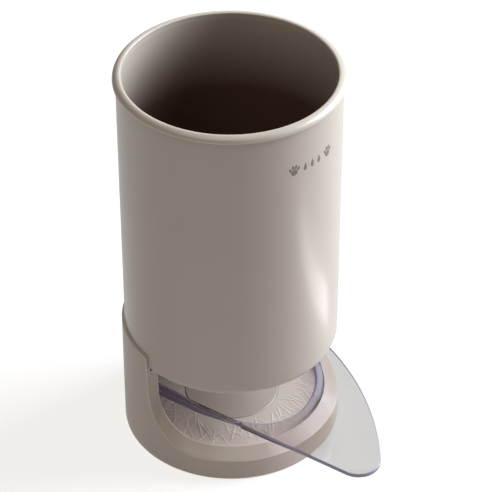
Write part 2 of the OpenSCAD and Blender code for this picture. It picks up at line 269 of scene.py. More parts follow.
def moulded_abs(name, deep, pale, rough, peel, wave, wear_and_highlights=(), painted_shade=None):
    """ABS between two sRGB tones.

    Cloud and grain noise mix the tones, and a patch noise moves the roughness by GLOSS_DRIFT
    round its middle. Peel and wave are bump heights in millimetres. The wear and highlight
    bands are triples (height, half width, strength), the first two in millimetres, where an
    edge is made paler, partly as wear and partly as a painted highlight, and the piece's own
    mark attribute pales it too. The painted shade is (start, end, strength): a painted brown
    shade that grows from nothing to its strength between two heights in millimetres.
    """
    material, tree, where = new_material(name)
    cloud = add(tree, "TexNoise", {"Vector": where, "Scale": per_mm(CLOUD), "Detail": 1.0})
    grain = add(tree, "TexNoise", {"Vector": where, "Scale": per_mm(GRAIN), "Detail": 2.0})
    both = add(tree, "Mix", {"Factor": 0.35, "A": cloud, "B": grain})
    spread = add(tree, "MapRange", {"Value": both, "From Min": 0.1, "From Max": 0.9})
    tones = {"Factor": spread, "A": linear(deep), "B": linear(pale)}
    colour = add(tree, "Mix", tones, data_type="RGBA")
    height = add(tree, "SeparateXYZ", {"Vector": where}).outputs["Z"]
    fleck_noise = add(tree, "TexNoise", {
        "Vector": where, "Scale": per_mm(FLECK), "Detail": 5.0, "Roughness": 0.7,
    })
    # The mark attribute pales edges, partly as wear and partly as painted highlights.
    rub_and_highlight_mask = add(tree, "Attribute", attribute_name="mark").outputs["Fac"]
    fleck = add(tree, "MapRange", {
        "Value": fleck_noise, "From Min": 0.3, "From Max": 0.7, "To Min": 0.45,
    })
    edge = add(tree, "Math", {0: rub_and_highlight_mask, 1: fleck}, operation="MULTIPLY")
    colour = add(tree, "Mix", {"Factor": edge, "A": colour, "B": RUB_AND_HIGHLIGHT_TONE}, data_type="RGBA")
    # Bands at given heights turn paler, partly as wear and partly as painted highlights.
    for level, width, strength in wear_and_highlights:
        off = add(tree, "Math", {0: height, 1: level * MM}, operation="SUBTRACT")
        far = add(tree, "Math", {0: off}, operation="ABSOLUTE")
        near = add(tree, "MapRange", {
            "Value": far, "From Max": width * MM, "To Min": 1.0, "To Max": 0.0,
        })
        rub_and_highlight = add(tree, "Math", {0: near, 1: fleck}, operation="MULTIPLY")
        amount = add(tree, "Math", {0: rub_and_highlight, 1: strength}, operation="MULTIPLY", use_clamp=True)
        colour = add(tree, "Mix", {"Factor": amount, "A": colour, "B": WEAR_AND_HIGHLIGHT_TONE}, data_type="RGBA")
    # Painted shade: the colour turns brown between two heights.
    if painted_shade:
        start, end, strength = painted_shade
        haze_and_painted_shade = add(tree, "MapRange", {
            "Value": height, "From Min": start * MM, "From Max": end * MM, "To Max": strength,
        })
        colour = add(tree, "Mix", {"Factor": haze_and_painted_shade, "A": colour, "B": PAINTED_SHADE_TONE}, data_type="RGBA")
    patch = add(tree, "TexNoise", {"Vector": where, "Scale": per_mm(PATCH), "Detail": 1.0})
    gloss = add(tree, "MapRange", {
        "Value": patch, "From Min": 0.1, "From Max": 0.9,
        "To Min": rough - GLOSS_DRIFT, "To Max": rough + GLOSS_DRIFT,
    })
    pores = add(tree, "TexNoise", {"Vector": where, "Scale": per_mm(PORE), "Detail": 2.0})
    skin = add(tree, "Bump", {"Height": pores, "Distance": peel * MM})
    tall = add(tree, "Mapping", {"Vector": where, "Scale": (1.0, 1.0, 0.16)})
    swell = add(tree, "TexNoise", {"Vector": tall, "Scale": per_mm(SWELL), "Detail": 1.0})
    shrink = add(tree, "Bump", {"Height": swell, "Distance": wave * MM, "Normal": skin})
    shader = add(tree, "BsdfPrincipled", {
        "Base Color": colour,
        "Roughness": gloss,
        "IOR": 1.53,
        "Coat Weight": 0.18,
        "Coat Roughness": 0.12,
        "Normal": shrink,
    })
    add(tree, "OutputMaterial", {"Surface": shader})
    print(name, "roughness", rough)
    return material


# %% ABS tones
# Heights in millimetres where the painted shade in the lining starts and where it is full.
SHADE_FROM_Z, SHADE_FULL_Z = 180, 145

# The pale band just above the cup's foot is a painted highlight on its lower rounded edge.
cup_abs = moulded_abs(
    "polished taupe ABS", "AE9F91", "B3A498", 0.33, 0.003, 0.05, [(cup_z + 1.2, 0.9, 0.9)])
rim_abs = moulded_abs(
    "turned rim ABS", "BBADA0", "C1B4A7", 0.36, 0.004, 0.02, [(rim_hi[2], 1.0, 0.2)])
base_abs = moulded_abs(
    "satin base ABS", "AC9C8E", "B2A295", 0.42, 0.006, 0.03,
    [(0.9, 0.8, 0.3), (base_hi[2], 0.5, 0.5)])
# The pale band at rib height paints highlights on the ribs, and the lighter tone partly paints
# light into the shade under the cup.
tray_abs = moulded_abs(
    "fine blasted tray ABS", "BEAFA1", "C4B6A9", 0.48, 0.008, 0.02,
    [(tray_top + 0.11, 0.09, 0.6)])
inner_abs = moulded_abs("dull inner ABS", "6B5D53", "76675C", 0.50, 0.008, 0.02)
# The lining turns brown towards the bristles: painted shade deep inside the cup.
lining_abs = moulded_abs(
    "dull cup lining ABS", "B2A497", "B8AB9F", 0.45, 0.008, 0.04,
    painted_shade=(SHADE_FROM_Z, SHADE_FULL_Z, 0.92))

# %% [markdown]
# ## Clear acrylic
# The spout is moulded acrylic (PMMA). Looked at square on it is almost invisible, and its
# surface mirrors the light. Looked at along the plate the light crosses centimetres of
# plastic and turns violet grey. That tint is an absorption inside the solid, so the edges
# darken by themselves. The narrow edge faces and the lip round the opening also get a diffuse
# violet colour. Partly this is the mould's satin skin, which scatters part of that violet
# light, and partly it is painted light for the violet that light gathers inside the plate.
# The same painted violet lies on the band over the hub, less on the bar and least at the
# front. The piece's mark says how much. Small flow ripples from the mould bend what lies
# behind. A ray on its way to a lamp meets a plain tinted window instead, so the sill below
# gets its light.

# %% Clear acrylic
clear_pmma, tree, where = new_material("clear violet tinted acrylic")
ripple = add(tree, "TexNoise", {"Vector": where, "Scale": per_mm(11), "Detail": 2.0})
flow = add(tree, "Bump", {"Height": ripple, "Distance": 0.06 * MM})
haze = add(tree, "TexNoise", {
    "Vector": where, "Scale": per_mm(5), "Detail": 5.0, "Roughness": 0.7,
})
haze_and_painted_shade = add(tree, "MapRange", {
    "Value": haze, "From Min": 0.4, "From Max": 0.8, "To Min": 0.015, "To Max": 0.09,
})
# Edges and the marked band are painted violet: partly satin skin, partly painted light from
# inside the plate.
facing = add(tree, "SeparateXYZ", {"Vector": add(tree, "TexCoord").outputs["Normal"]})
flat = add(tree, "Math", {0: facing.outputs["Z"]}, operation="ABSOLUTE")
edge = add(tree, "MapRange", {"Value": flat, "From Min": 0.998, "From Max": 0.96})
satin_and_painted_violet = add(tree, "Attribute", attribute_name="mark").outputs["Fac"]
violet = add(tree, "Math", {0: edge, 1: satin_and_painted_violet}, operation="MAXIMUM")
tones = {"Factor": violet, "A": linear("E6E6DF"), "B": linear("B0A5B8")}
body = add(tree, "Mix", tones, data_type="RGBA")
glassy = add(tree, "MapRange", {"Value": violet, "To Min": 1.0, "To Max": 0.35})
shader = add(tree, "BsdfPrincipled", {
    "Base Color": body,
    "Roughness": haze_and_painted_shade,
    "IOR": 1.49,
    "Transmission Weight": glassy,
    "Normal": flow,
})
clear = add(tree, "BsdfTransparent", {"Color": (0.90, 0.88, 0.90, 1.0)})
shadow_ray = add(tree, "LightPath").outputs["Is Shadow Ray"]
pane = add(tree, "MixShader", {0: shadow_ray, 1: shader, 2: clear})
depth = add(tree, "VolumeAbsorption", {"Color": (0.45, 0.36, 0.52, 1.0), "Density": 120.0})
add(tree, "OutputMaterial", {"Surface": pane, "Volume": depth})
print(clear_pmma.name)

# %% [markdown]
# ## Silicone, rubber, steel and ink
# The bristles are dark umber silicone, and a little light spreads under their surface. The
# pads and the plug are black nitrile rubber, dull and faintly dusty. The drain and the screws
# are stainless steel with turning marks round the axis, so their noise is read by the radius.
# The printed row of signs is matt ink.

# %% Soft finishes
def soft(name, deep, pale, rough, spread, bumps):
    """Rubber or silicone: two tones by 3 mm noise, fine bumps, and light spreading under the
    skin."""
    material, tree, where = new_material(name)
    dust = add(tree, "TexNoise", {
        "Vector": where, "Scale": per_mm(3), "Detail": 6.0, "Roughness": 0.7,
    })
    tones = {"Factor": dust, "A": linear(deep), "B": linear(pale)}
    tone = add(tree, "Mix", tones, data_type="RGBA")
    dull = add(tree, "MapRange", {
        "Value": dust, "From Min": 0.3, "From Max": 0.7,
        "To Min": rough - 0.08, "To Max": rough + 0.08,
    })
    grain = add(tree, "TexNoise", {"Vector": where, "Scale": per_mm(0.5), "Detail": 3.0})
    skin = add(tree, "Bump", {"Height": grain, "Distance": bumps * MM})
    shader = add(tree, "BsdfPrincipled", {
        "Base Color": tone,
        "Roughness": dull,
        "IOR": 1.42,
        "Subsurface Weight": spread,
        "Subsurface Radius": (0.004, 0.003, 0.0025),
        "Subsurface Scale": 0.4,
        "Normal": skin,
    })
    add(tree, "OutputMaterial", {"Surface": shader})
    return material


silicone = soft("umber silicone", "32271F", "43372E", 0.5, 0.25, 0.01)
rubber = soft("black nitrile rubber", "1C1C1E", "2C2B2C", 0.62, 0.0, 0.03)
print("soft finishes", silicone.name, "and", rubber.name)

# %% Turned steel
brushed, tree, where = new_material("turned stainless steel")
split = add(tree, "SeparateXYZ", {"Vector": where})
squares = [add(tree, "Math", {0: split.outputs[way], 1: 2.0}, operation="POWER") for way in "XY"]
sum_xy = add(tree, "Math", {0: squares[0], 1: squares[1]}, operation="ADD")
radius = add(tree, "Math", {0: sum_xy, 1: 0.5}, operation="POWER")
by_radius = add(tree, "CombineXYZ", {"X": radius, "Z": split.outputs["Z"]})
lines = add(tree, "TexNoise", {"Vector": by_radius, "Scale": per_mm(0.12), "Detail": 3.0})
tones = {"Factor": lines, "A": linear("A9A9AB"), "B": linear("D8D7D6")}
steel_tone = add(tree, "Mix", tones, data_type="RGBA")
steel_gloss = add(tree, "MapRange", {"Value": lines, "To Min": 0.16, "To Max": 0.42})
marks = add(tree, "Bump", {"Height": lines, "Distance": 0.006 * MM})
shader = add(tree, "BsdfPrincipled", {
    "Base Color": steel_tone,
    "Metallic": 1.0,
    "Roughness": steel_gloss,
    "Normal": marks,
})
add(tree, "OutputMaterial", {"Surface": shader})
print(brushed.name)

# %% Ink
ink, tree, where = new_material("matt grey pad print ink")
fleck = add(tree, "TexNoise", {"Vector": where, "Scale": per_mm(0.35), "Detail": 4.0})
tones = {"Factor": fleck, "A": linear("5F5852"), "B": linear("7C746D")}
ink_tone = add(tree, "Mix", tones, data_type="RGBA")
ink_skin = add(tree, "Bump", {"Height": fleck, "Distance": 0.01 * MM})
shader = add(tree, "BsdfPrincipled", {
    "Base Color": ink_tone, "Roughness": 0.55, "Normal": ink_skin,
})
add(tree, "OutputMaterial", {"Surface": shader})
print(ink.name)

# %% [markdown]
# ## The cup
# The cup is a straight tumbler with a 2.45 mm wall and a generous radius under its foot. A
# separate ring caps the wall, so its crown can be a soft quarter ellipse that falls outwards.
# Both are turned from one closed section, which gives the wall its thickness at once. The
# faces inside take the duller lining, which turns brown towards the bristles as painted shade.

# %% Cup and rim
EDGE_R, HOLE_R = 4.0, 12.2
CROWN_H, CROWN_FLAT = 2.3, 0.6
WALL_SLACK = 0.3

cup = lathe("cup_wall", [
    (HOLE_R, cup_z, 0.3),
    (cup_r, cup_z, EDGE_R),
    (cup_r, wall_end, 0.1),
    (cup_in_r, wall_end, 0.1),
    (cup_in_r, floor_z, 0.5),
    (HOLE_R, floor_z, 0.3),
], "cup", ["cup_shell"], cup_abs, sides=256, steps=10)

cup.data.materials.append(lining_abs)
centres = np.zeros(3 * len(cup.data.polygons), np.float32)
cup.data.polygons.foreach_get("center", centres)
centres = centres.reshape(-1, 3) / MM
within = np.hypot(centres[:, 0], centres[:, 1]) < cup_in_r + WALL_SLACK
inside = within & (centres[:, 2] > floor_z - WALL_SLACK)
cup.data.polygons.foreach_set("material_index", inside.astype(np.int32))
print("lining faces", int(inside.sum()))

crown_w = rim_hi[0] - cup_in_r - CROWN_FLAT
crown = [
    (rim_hi[0] - crown_w * (1 - math.cos(a)), rim_hi[2] + CROWN_H * (math.sin(a) - 1), 0)
    for a in np.radians(np.linspace(0, 90, 13))
]
lathe("cup_rim", [
    (cup_in_r, wall_end, 0),
    (rim_hi[0], wall_end, 0.25),
    *crown,
    (cup_in_r, rim_hi[2] - 0.35, 0.35),
], "cup", ["rim_ring"], rim_abs, sides=256)

# %% [markdown]
# ## The base
# The base is a turned shell with a wide window cut in its front. A window cut with a boolean
# would leave a knife edge, so the shell is carried round the axis as a section that changes
# with the azimuth. Two curves steer it: the window's edge on the outer skin and its edge on
# the inner skin. Both run along the sill, turn up a wide corner and climb the jamb. Between
# them lies the sloping sill. Past the jamb the same section holds the rebate and the shelf
# that carry the cup's platform.

# %% Base outline
SILL_OUT, SILL_IN = 11.2, 15.0
OUT_CORNER, IN_CORNER = (60.6, 33.4, 26.0), (61.0, 33.0, 19.5)
JAMB_AZ, CHEEK_AZ, CHEEK_TOP = 94.0, 101.0, 47.3
DRAFT, DRAFT_FROM, DRAFT_FADE = 0.05, 34, 60
ARC = 1.2
REBATE_GAP = 0.15


def on_ring(az, z, r):
    """Point at an azimuth in degrees, a height and a radius: x = r sin az, y = -r cos az."""
    a = np.radians(az)
    return np.stack(np.broadcast_arrays(r * np.sin(a), -r * np.cos(a), z), -1)


def window_edge(corner, sill_z):
    """Azimuths and heights of the window's edge on one skin: the sill, the corner, the jamb.

    A corner is (azimuth, width, rise). In it the azimuth grows with sin t and the height with
    1 - cos t.
    """
    start, wide, rise = corner
    t = np.radians(np.linspace(0, 90, 48))
    sill = np.linspace(0, 1, 36)[:-1]
    climb = np.linspace(0, 1, 10)[1:]
    top = sill_z + rise * (1 - np.cos(t))
    az = np.concatenate([start * sill, start + wide * np.sin(t), 0 * climb + JAMB_AZ])
    z = np.concatenate([0 * sill + sill_z, top, top[-1] + climb * (CHEEK_TOP - top[-1])])
    return az, z


rebate_r = platform_hi[0] + REBATE_GAP
rise = np.linspace(CHEEK_TOP, base_hi[2] - ARC, 9)[1:]
a = np.radians(np.linspace(0, 90, 7))[1:]
arc_az = JAMB_AZ + np.degrees(ARC * (1 - np.cos(a)) / base_r)
cheek = np.linspace(arc_az[-1], CHEEK_AZ, 6)[1:]
back = np.concatenate([cheek, np.linspace(CHEEK_AZ + 0.03, 180, 45)])
upper_az = np.concatenate([0 * rise + JAMB_AZ, arc_az, back])
upper_z = np.concatenate([rise, base_hi[2] - ARC + ARC * np.sin(a), 0 * back + base_hi[2]])
shelf = np.where(upper_az <= CHEEK_AZ, CHEEK_TOP, shelf_z)
out_edge, in_edge = window_edge(OUT_CORNER, SILL_OUT), window_edge(IN_CORNER, SILL_IN)
window = len(out_edge[0])
outer_az, outer_z = np.concatenate([out_edge, [upper_az, upper_z]], axis=1)
inner_az, inner_z = np.concatenate([in_edge, [upper_az, shelf]], axis=1)
below = np.arange(len(outer_az)) < window - 1
fade = np.clip((180 - outer_az) / DRAFT_FADE, 0, 1)
outer_az = outer_az + DRAFT * fade * np.maximum(outer_z - DRAFT_FROM, 0)
drafted = inner_az + DRAFT * np.maximum(inner_z - DRAFT_FROM, 0)
inner_az = np.where(below, drafted, outer_az)
print(f"base stations {len(outer_az)}, window ends at {outer_az[window - 1]:.1f} degrees")

# %% Base section helpers
def bend(p, corner, q, steps=4):
    """Soft corner from p to q: (1-t)(1-t) p + 2t(1-t) corner + t t q, in steps + 1 rows."""
    t = np.linspace(0, 1, steps + 1)[:, None, None]
    return (1 - t) ** 2 * p + 2 * t * (1 - t) * corner + t**2 * q


def between(p, q, rows):
    """Rows of points on the straight from p to q, without its ends."""
    t = np.linspace(0, 1, rows + 2)[1:-1, None, None]
    return (1 - t) * p + t * q


def inset(az, z, r, by):
    """The edge curve moved by some millimetres into its own skin, square to its run."""
    run = np.stack([np.gradient(np.radians(az) * r), np.gradient(z)])
    run = run / np.linalg.norm(run, axis=0)
    return np.clip(az + np.degrees(by * run[1] / r), 0, 180), z - by * run[0]


def toward(p, q, by):
    """Point some millimetres from p on the way to q."""
    step = q - p
    return p + by * step / np.maximum(np.linalg.norm(step, axis=-1, keepdims=True), 1e-9)


def rows_down(az, z0, z1, r, rows):
    """Rows on a cylinder between two heights at the same azimuths, without the ends."""
    t = np.linspace(0, 1, rows + 2)[1:-1, None]
    return on_ring(az + 0 * t, (1 - t) * z0 + t * z1, r)


print("rows of a soft corner:", len(bend(*on_ring(0, np.arange(3), base_r)[:, None])))

# %% Base section
OUT_EDGE, IN_EDGE, FOOT_EDGE = 0.45, 0.5, 0.6
SKIRT_T = 2.8
LEDGE_TOP, LEDGE_LOW, LEDGE_W = 8.0, 6.0, 3
# The foot is paled a little as wear. The outer and inner edges of the sill are paled as painted
# highlights.
RUBS_AND_HIGHLIGHTS = {0: 0.2, 2: 0.45, 7: 1.0}


def half_base():
    """Sections of the base from the front to the back, as a grid (station, point of the
    section), and how much each point of a section is paled: a little as wear at the foot,
    and as painted highlights on the two edges of the sill. The amounts are given by the
    number of the stretch in the section's list."""
    lip = (base_r - rebate_r) / (base_r - recess_r)
    skin_az, skin_z = inset(outer_az, outer_z, base_r, OUT_EDGE)
    edge = on_ring(outer_az, outer_z, base_r)
    mid_az = np.where(below, outer_az + lip * (inner_az - outer_az), outer_az)
    mid_z = np.where(below, outer_z + lip * (inner_z - outer_z), outer_z)
    lip_top = on_ring(mid_az, mid_z, rebate_r)
    lip_low = on_ring(mid_az, np.where(below, mid_z, inner_z), rebate_r)
    inner = on_ring(inner_az, inner_z, recess_r)
    inner_start = toward(inner, lip_low, IN_EDGE)
    wall_az, wall_z = inset(inner_az, inner_z, recess_r, IN_EDGE)
    foot = base_lo[2]
    low = foot + FOOT_EDGE
    foot_in, foot_out = (on_ring(skin_az, foot, r) for r in (base_r - FOOT_EDGE, base_r))
    section = [
        bend(foot_in, foot_out, on_ring(skin_az, low, base_r)),
        rows_down(skin_az, low, skin_z, base_r, 6),
        bend(on_ring(skin_az, skin_z, base_r), edge, toward(edge, lip_top, OUT_EDGE)),
        lip_top[None],
        between(lip_top, lip_low, 3),
        lip_low[None],
        between(lip_low, inner_start, 3),
        bend(inner_start, inner, on_ring(wall_az, wall_z, recess_r)),
        rows_down(wall_az, wall_z, LEDGE_TOP + 0.3, recess_r, 5),
        on_ring(wall_az, LEDGE_TOP, recess_r)[None],
        on_ring(wall_az, LEDGE_TOP, recess_r - LEDGE_W)[None],
        on_ring(wall_az, LEDGE_LOW, recess_r - LEDGE_W)[None],
        on_ring(skin_az, LEDGE_LOW, base_r - SKIRT_T)[None],
        on_ring(skin_az, foot, base_r - SKIRT_T)[None],
    ]
    over = np.array([0, 1, 1, 1, 0])
    wear_and_highlight_rows = [over * RUBS_AND_HIGHLIGHTS[i] if i in RUBS_AND_HIGHLIGHTS else np.zeros(len(r)) for i, r in enumerate(section)]
    return np.concatenate(section).transpose(1, 0, 2), np.concatenate(wear_and_highlight_rows)


right, rub_and_highlight = half_base()
left = right[::-1] * np.array([-1, 1, 1])
whole = np.concatenate([left[1:-1], right])
rub_and_highlight = np.broadcast_to(rub_and_highlight, whole.shape[:2])
piece("base_shell_skin", whole, None, "base", ["base_shell"], base_abs, rub_and_highlight)

# %% [markdown]
# ## The drip tray
# Straw-like ribs keep the spout and the drops off the tray. Each rib is a stroke at a random
# angle, so the floor is a height field: at every point the nearest stroke decides how high it
# stands. The seed is fixed, so the pattern is the same on every run. The smooth disc in the
# middle covers the tray's screw.

# %% Drip tray
STROKES = 140
RIB_H, RIB_HALF = 0.16, 0.30
SHORTEST, LONGEST, MOST_LEAN = 3.2, 7.2, 1.1
INNER_FREE, OUTER_FREE = 0.8, 1.4
DISC_GAP, BORE_R = 0.1, 1.5
rng = np.random.default_rng(14)


def rib_height(x, y):
    """Height of the ribs: 1 - (distance / half width) squared near the nearest stroke, times
    RIB_H."""
    pitch = 2 * np.pi / STROKES
    around = np.arange(STROKES) * pitch + rng.uniform(-0.4, 0.4, STROKES) * pitch
    reach = rng.uniform(SHORTEST, LONGEST, STROKES)
    room = tray_r - OUTER_FREE - cap_hi[0] - 2 * reach
    out = cap_hi[0] + INNER_FREE + reach + rng.uniform(0, 1, STROKES) * room
    lean = around + rng.uniform(-MOST_LEAN, MOST_LEAN, STROKES)
    height = np.zeros_like(x)
    for spin, far, half, way in zip(around, out, reach, lean):
        dx, dy = x - far * np.sin(spin), y + far * np.cos(spin)
        along = np.clip(dx * np.sin(way) - dy * np.cos(way), -half, half)
        gap = np.hypot(dx - along * np.sin(way), dy + along * np.cos(way))
        height = np.maximum(height, RIB_H * np.clip(1 - (gap / RIB_HALF) ** 2, 0, 1))
    return height


disc_r = cap_hi[0] + DISC_GAP
turns = np.linspace(0, 360, 720, endpoint=False)[:, None]
field = on_ring(turns, 0, np.linspace(disc_r + 0.2, tray_r - 0.3, 74)[None])
field[..., 2] = tray_top + rib_height(field[..., 0], field[..., 1])
edge_line = np.array([
    (tray_r - 0.08, tray_top - 0.08),
    (tray_r, tray_top - 0.3),
    (tray_r, tray_lo[2]),
    (BORE_R, tray_lo[2]),
    (BORE_R, cap_lo[2]),
    (disc_r, cap_lo[2]),
    (disc_r, tray_top - 0.2),
    (disc_r + 0.06, tray_top - 0.06),
])
under = on_ring(turns, edge_line[:, 1], edge_line[:, 0])
tray = np.concatenate([field, under], axis=1)
piece("drip_tray_floor", tray, None, "base", ["drip_tray"], tray_abs)

# The disc takes the darker base ABS, which partly paints the shadow that the cup casts on the
# middle of the tray.
lathe("tray_disc", [
    (0, cap_hi[2], 0),
    (cap_hi[0], cap_hi[2], 0.3),
    (cap_hi[0], cap_lo[2], 0.2),
    (0, cap_lo[2], 0),
], "base", ["tray_cap"], base_abs, sides=160, closed=False)

# %% [markdown]
# ## The clear spout
# The spout is one plate. A hub ring turns in the base, a straight bar closes it on the left,
# and a long leaf reaches over the sill to a round tip. Seen from above it has two outlines:
# the outer one of two large arcs and a straight, and the opening of a circle, a straight and a
# wide corner, with a soft lip all round it. Both are sampled by the angle about a point inside
# the opening, so a section can be carried between them. Every edge is polished round, which
# gives the bright lines.

# %% Spout measures
LEAN, BAR_LEAN = math.radians(10.5), math.radians(8.8)
EDGE_D, BAR_IN = 23.5, 22.15
TIP_R, OPEN_CORNER, CORNER_CUT = 10.0, 22.0, math.radians(22)
PLATE_T, RING_W, HUB_GAP = 2.0, 3.8, 0.4
LOBE = math.radians(71 - 90)
LOBE_SOFT, HUB_SOFT, REAR_SOFT, OPEN_SOFT = 2.6, 1.2, 1.4, 2.5
CORNER_SHIFT = 0.9
SIDE_CENTRE = np.array([-93.0, 20.0])
FOCUS = np.array([0.0, -10.0])
across = np.array([math.cos(LEAN), math.sin(LEAN)])
along = np.array([math.sin(LEAN), -math.cos(LEAN)])
hub_r = recess_r - HUB_GAP
open_r = hub_r - RING_W
tip_y = -spout_lo[1] - TIP_R
tip = np.array([(TIP_R - EDGE_D + tip_y * math.sin(LEAN)) / math.cos(LEAN), -tip_y])
side_r = np.linalg.norm(tip - SIDE_CENTRE) + TIP_R


def sweep(centre, r, start, stop, steps):
    """Arc about a centre from one angle to another, in radians from +X towards +Y."""
    a = np.linspace(start, stop, steps)[:, None]
    return centre + r * np.concatenate([np.cos(a), np.sin(a)], 1)


def at(centre, r, angle):
    """Point of a circle at one angle."""
    return centre + r * np.array([math.cos(angle), math.sin(angle)])


def bearing_of(point, centre):
    """Angle at which a point is seen from a centre."""
    return math.atan2(point[1] - centre[1], point[0] - centre[0])


def soften(p, corner, q):
    """Six points of the soft corner from p to q in the plan."""
    return bend(p[None], corner[None], q[None], 5)[:, 0]


def onto_straight(r, d, lean, soft):
    """Last angle of a circle about the axis before it bends onto a leaning straight, and the
    soft corner there. The two meet at acos(-d / r) + lean, d being the straight's distance."""
    meet = math.acos(-d / r) + lean
    corner, stop = at(0, r, meet), meet - soft / r
    down = np.array([math.sin(lean), -math.cos(lean)])
    return stop, soften(at(0, r, stop), corner, corner + soft * down)[1:]


print(f"spout tip {tip.round(1)}, hub r {hub_r:.1f}, opening r {open_r:.1f}")


# %% Spout outlines
def outer_outline():
    """Tip arc, side arc, soft step to the hub, hub arc round the back, and the straight edge.

    The side arc ends where the ray at the angle LOBE cuts it: its distance d solves
    |d ray - centre| = radius.
    """
    start = math.pi + LEAN
    side = bearing_of(tip, SIDE_CENTRE)
    ray = at(0, 1, LOBE)
    run = SIDE_CENTRE @ ray
    end = ray * (run + math.sqrt(run**2 - SIDE_CENTRE @ SIDE_CENTRE + side_r**2))
    stop = bearing_of(end, SIDE_CENTRE) - LOBE_SOFT / side_r
    hub = ray * hub_r
    first = LOBE + REAR_SOFT / hub_r
    last, corner = onto_straight(hub_r, EDGE_D, LEAN, REAR_SOFT)
    return np.concatenate([
        sweep(tip, TIP_R, start, side + 2 * math.pi, 60),
        sweep(SIDE_CENTRE, side_r, side, stop, 90)[1:],
        soften(at(SIDE_CENTRE, side_r, stop), end, end - LOBE_SOFT * ray)[1:],
        soften(hub + HUB_SOFT * ray, hub, at(0, hub_r, first)),
        sweep(0, hub_r, first, last, 150)[1:],
        corner,
    ])


def hub_outline():
    """The hub circle cut by the straight edge."""
    last, corner = onto_straight(hub_r, EDGE_D, LEAN, REAR_SOFT)
    front = 2 * LEAN - last - REAR_SOFT / hub_r
    return np.concatenate([sweep(0, hub_r, front, last, 240), corner])


def opening_outline():
    """The opening: sharp left corner, tangent, wide corner arc, circle round the back, soft
    rear corner and straight. The straight leans less than the outer edge, so the bar tapers."""
    x = OPEN_CORNER - BAR_IN + CORNER_SHIFT
    centre = x * across + math.sqrt((open_r - OPEN_CORNER) ** 2 - x**2) * along
    bearing = bearing_of(centre, (0, 0))
    cut = math.pi + LEAN + CORNER_CUT
    start = at(centre, OPEN_CORNER, cut)
    tangent = np.array([math.sin(cut), -math.cos(cut)])
    facing = at(0, 1, BAR_LEAN)
    corner = start + tangent * (-BAR_IN - start @ facing) / (tangent @ facing)
    last, rear_corner = onto_straight(open_r, BAR_IN, BAR_LEAN, OPEN_SOFT)
    return np.concatenate([
        corner[None],
        sweep(centre, OPEN_CORNER, cut, bearing + 2 * math.pi, 80),
        sweep(0, open_r, bearing, last, 180)[1:],
        rear_corner,
    ])


def sampled(outline, angles):
    """Points of a closed outline at angles about FOCUS, and the outward normals there."""
    off = outline - FOCUS
    bearing = np.unwrap(np.arctan2(off[:, 1], off[:, 0]))
    turn = 2 * np.pi
    wide = np.concatenate([bearing - turn, bearing, bearing + turn])
    when = bearing[0] + (angles - bearing[0]) % turn
    spots = np.stack([np.interp(when, wide, np.tile(outline[:, k], 3)) for k in (0, 1)], 1)
    run = np.roll(spots, -1, 0) - np.roll(spots, 1, 0)
    run = run / np.linalg.norm(run, axis=1, keepdims=True)
    return spots, np.stack([run[:, 1], -run[:, 0]], 1)


print("outline points", len(outer_outline()), len(hub_outline()), len(opening_outline()))

# %% Spout stations
ROUND = 0.45
LIP_W, LIP_H, LIP_SHARE, LIP_FREE = 2.2, 1.2, 0.6, 2.5
STATIONS, CLOSE_BY, LOBE_AT = 760, 0.09, 44
SKIRT_FADE = (-3.0, -25.0)

looks = [bearing_of(at(0, LOBE_AT, LOBE), FOCUS), bearing_of(opening_outline()[0], FOCUS)]
even = np.linspace(-np.pi, np.pi, STATIONS, endpoint=False)
dense = [look + np.linspace(-CLOSE_BY, CLOSE_BY, 61) for look in looks]
angles = np.unique(np.round(np.concatenate([even, *dense]), 6))
outer, outer_n = sampled(outer_outline(), angles)
hub, hub_n = sampled(hub_outline(), angles)
opening, opening_n = sampled(opening_outline(), angles)
hub_low, plate_top = spout_lo[2], spout_hi[2]
plate_low = plate_top - PLATE_T


def lift(plan, z):
    """Plan points at one height, or each at its own."""
    return np.concatenate([plan, np.broadcast_to(z, len(plan))[:, None]], 1)


def low(plan):
    """Height of the hub's underside: it rises evenly to the plate's underside towards the
    front."""
    start, stop = SKIRT_FADE
    part = np.clip((start - plan[:, 1]) / (start - stop), 0, 1)
    return hub_low + part * (plate_low - hub_low)


def softly(plan):
    """Edge radius under the hub: ROUND, or half of the skirt where that is thinner."""
    return np.minimum(ROUND, (plate_low - low(plan)) / 2)


print("spout stations", len(angles))

# %% Spout sections
# How much the faces over and under the hub ring are painted violet, a painted light for the
# thick hub seen through the plate.
RING_MARK, BAR_MARK, FRONT_MARK, BAR_WIDEST = 0.8, 0.6, 0.1, 3.4
MARK_FROM, MARK_OVER, REAR_AZ = 5, 35, -100
MARK_END, MARK_GONE = 0.8, 0.5

gap = np.linalg.norm(outer - hub, axis=1, keepdims=True)
small = np.minimum(ROUND, gap / 2)
hub_in, hub_under = hub - ROUND * hub_n, low(hub)
plate_w = np.linalg.norm(outer - opening, axis=1)
lip_w = np.clip(LIP_SHARE * (plate_w - LIP_FREE), ROUND, LIP_W)
lip_h = LIP_H * lip_w / LIP_W
lip = opening + lip_w[:, None] * opening_n
open_out, open_under = opening + ROUND * opening_n, low(opening)
outer_in = outer - ROUND * outer_n
ring_az = np.degrees(np.arctan2(hub[:, 0], -hub[:, 1]))
growing = np.clip((ring_az - MARK_FROM) / MARK_OVER, FRONT_MARK, 1)
ring_share = np.where(ring_az < REAR_AZ, 1, growing)
ring_mark = RING_MARK * np.where(plate_w < BAR_WIDEST, BAR_MARK, ring_share)


def at_top(plan, down=0):
    """Plan points on the plate's top, or some millimetres below it."""
    return lift(plan, plate_top - down)


